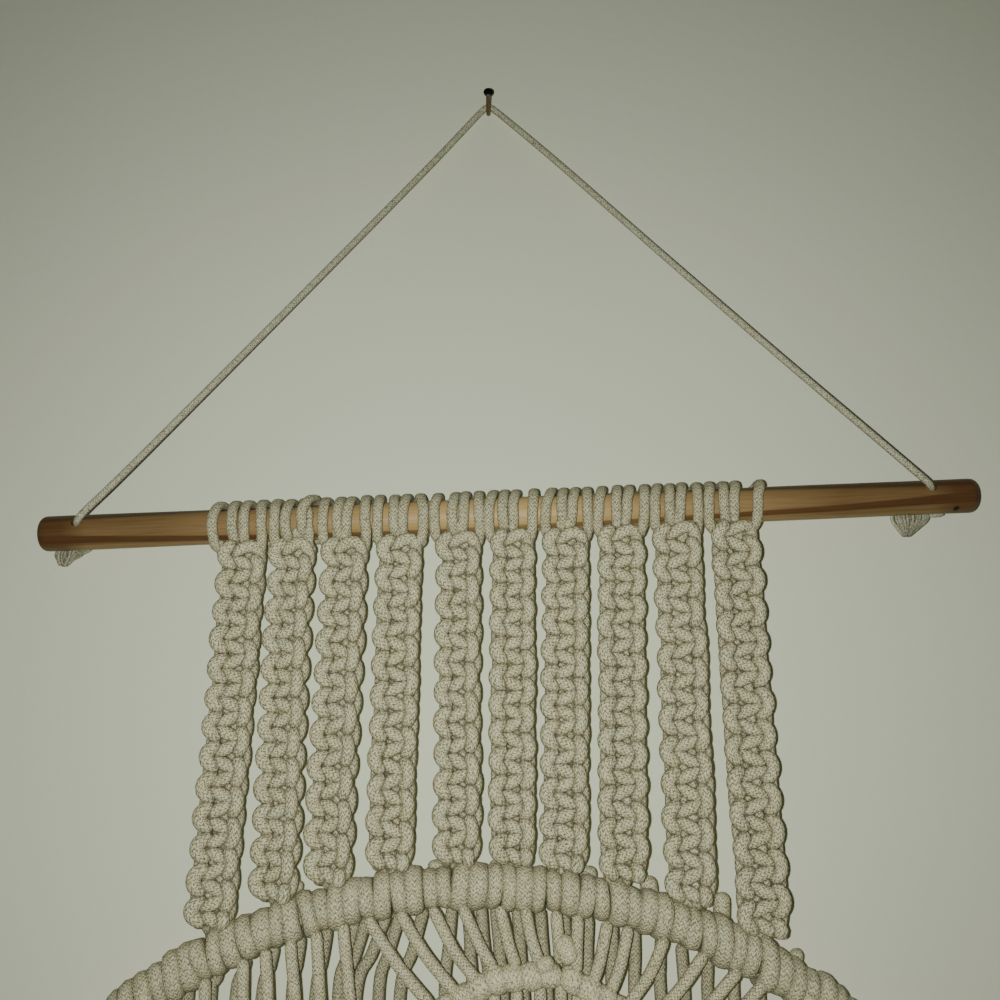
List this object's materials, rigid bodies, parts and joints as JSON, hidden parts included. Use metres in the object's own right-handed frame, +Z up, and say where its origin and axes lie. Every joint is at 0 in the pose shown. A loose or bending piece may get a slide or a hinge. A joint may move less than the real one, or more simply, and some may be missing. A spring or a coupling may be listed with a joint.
{
  "type": "macrame wall hanging with its wooden rod and ring",
  "caption": "Cord wall hanging on a wooden rod hung from a nail: strips of square knots, a cord-wrapped ring below them, and cords that cross the ring and end in a fringe.",
  "frame": {"origin": "where the nail's shank meets the wall, which is the plane Y = 0", "axes": "+X to the right seen from the front, +Y into the wall, +Z up"},
  "size_m": [0.5956, 0.0362, 1.2538],
  "materials": {
    "nail_steel": "dark bronzed steel, slightly worn",
    "rod_wood": "satin varnished pine with dark grain stripes",
    "hanging_cord": "matte twisted and braided cotton",
    "knotted_cord": "matte braided natural cotton, slightly fuzzy",
    "ring_wrapping": "matte braided natural cotton, wound side by side",
    "net_cord": "matte braided natural cotton",
    "fuzzy_rows": "matte fuzzy cotton"
  },
  "bodies": {
    "root": {"nail": "nail_steel", "rod": "rod_wood", "hanging_cord": "hanging_cord", "knot_left": "hanging_cord", "knot_right": "hanging_cord", "heading_01": "knotted_cord", "heading_02": "knotted_cord", "heading_03": "knotted_cord", "heading_04": "knotted_cord", "heading_05": "knotted_cord", "heading_06": "knotted_cord", "heading_07": "knotted_cord", "heading_08": "knotted_cord", "heading_09": "knotted_cord", "heading_10": "knotted_cord", "strip_01": "knotted_cord", "strip_02": "knotted_cord", "strip_03": "knotted_cord", "strip_04": "knotted_cord", "strip_05": "knotted_cord", "strip_06": "knotted_cord", "strip_07": "knotted_cord", "strip_08": "knotted_cord", "strip_09": "knotted_cord", "strip_10": "knotted_cord", "ring": "ring_wrapping", "net_front": "net_cord", "net_back": "net_cord", "curtain": "net_cord", "arm_left": "fuzzy_rows", "arm_right": "fuzzy_rows", "fringe": "net_cord"}
  },
  "joints": []
}
